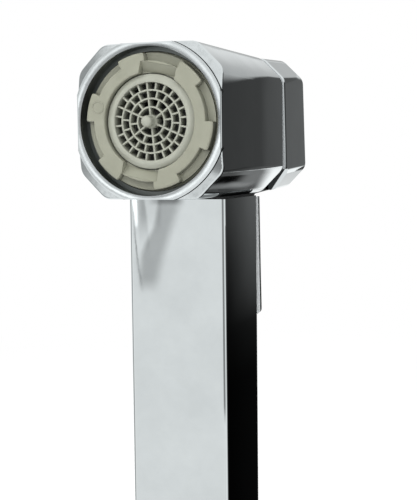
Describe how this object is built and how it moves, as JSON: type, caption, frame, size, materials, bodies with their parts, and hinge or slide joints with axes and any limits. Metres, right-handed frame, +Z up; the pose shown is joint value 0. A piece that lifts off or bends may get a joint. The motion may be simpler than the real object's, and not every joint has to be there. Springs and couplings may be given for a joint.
{
  "type": "bidet hand shower",
  "caption": "Square chromed bidet hand shower with an aerator mouth and a rear trigger lever that opens a sprung valve.",
  "frame": {"origin": "centre of the end face of the hose thread, on the handle's axis", "axes": "+Z up the handle, -Y the way the water leaves the head, +X to the right seen from the mouth"},
  "size_m": [0.031, 0.0652, 0.145],
  "materials": {
    "chrome_brass": "polished chrome plate",
    "brass": "machined",
    "stainless_steel": "turned",
    "spring_steel": "drawn wire",
    "ring_acetal": "moulded, fine matt",
    "grille_acetal": "moulded, fine matt",
    "inner_acetal": "moulded",
    "black_polymer": "moulded",
    "black_rubber": "moulded"
  },
  "bodies": {
    "handset": {"head_body": "chrome_brass", "handle_sleeve": "chrome_brass", "hose_nipple": "chrome_brass", "aerator_key_ring": "ring_acetal", "aerator_grille": "grille_acetal", "aerator_diffuser": "inner_acetal", "aerator_filter_screen": "stainless_steel", "aerator_washer": "black_rubber", "valve_sleeve": "brass", "valve_sleeve_o_rings": "black_rubber", "gland_nut": "brass", "return_spring": "spring_steel", "sleeve_locator": "black_polymer", "water_tube": "brass", "water_tube_o_rings": "black_rubber"},
    "trigger": {"trigger_lever": "chrome_brass", "hinge_pin": "stainless_steel"},
    "plunger": {"valve_stem": "stainless_steel", "valve_stem_o_ring": "black_rubber", "valve_seal_disc": "black_rubber", "seal_disc_nut": "brass", "thrust_button": "inner_acetal"}
  },
  "joints": [
    {"name": "trigger_press", "type": "hinge", "parent": "handset", "child": "trigger", "pos_m": [0, 0.022, 0.1376], "axis": [-1, 0, 0], "range_deg": [0, 2.5], "stiffness_Nm_per_rad": 3.8, "springref_deg": -2.86},
    {"name": "valve_lift", "type": "slide", "parent": "handset", "child": "plunger", "axis": [0, -1, 0], "range_m": [0, 0.0004], "deforming": ["return_spring"]}
  ],
  "couplings": [
    {"joint": "valve_lift", "follows": "trigger_press", "m_per_rad": 0.0086}
  ]
}
